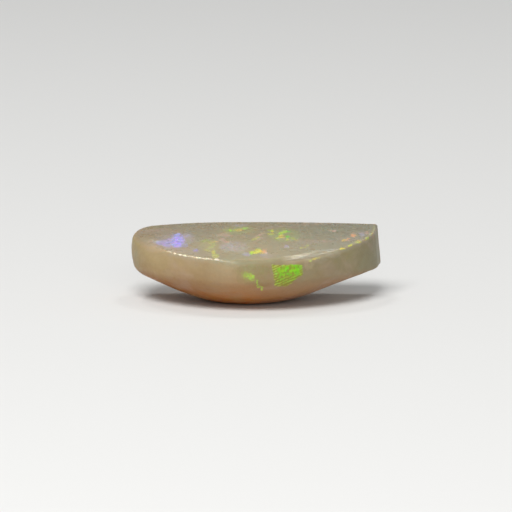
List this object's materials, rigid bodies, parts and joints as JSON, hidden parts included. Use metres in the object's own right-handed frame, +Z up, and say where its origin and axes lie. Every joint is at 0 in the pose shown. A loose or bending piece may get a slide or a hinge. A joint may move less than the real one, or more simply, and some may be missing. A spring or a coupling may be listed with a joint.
{
  "type": "rough opal specimen",
  "caption": "Hand-rubbed piece of milky opal with a flat polished top, upright wall, rounded left end, square-cut right end and a shallow belly that it rests on.",
  "frame": {"origin": "under the middle of the stone's box, on the level of the small flat that it rests on", "axes": "+X along the stone towards its square-cut end, +Y from the thin rounded front to the nearly straight back, +Z up"},
  "size_m": [0.025, 0.0124, 0.007],
  "materials": {
    "opal": "polished"
  },
  "bodies": {
    "root": {"opal": "opal"}
  },
  "joints": []
}
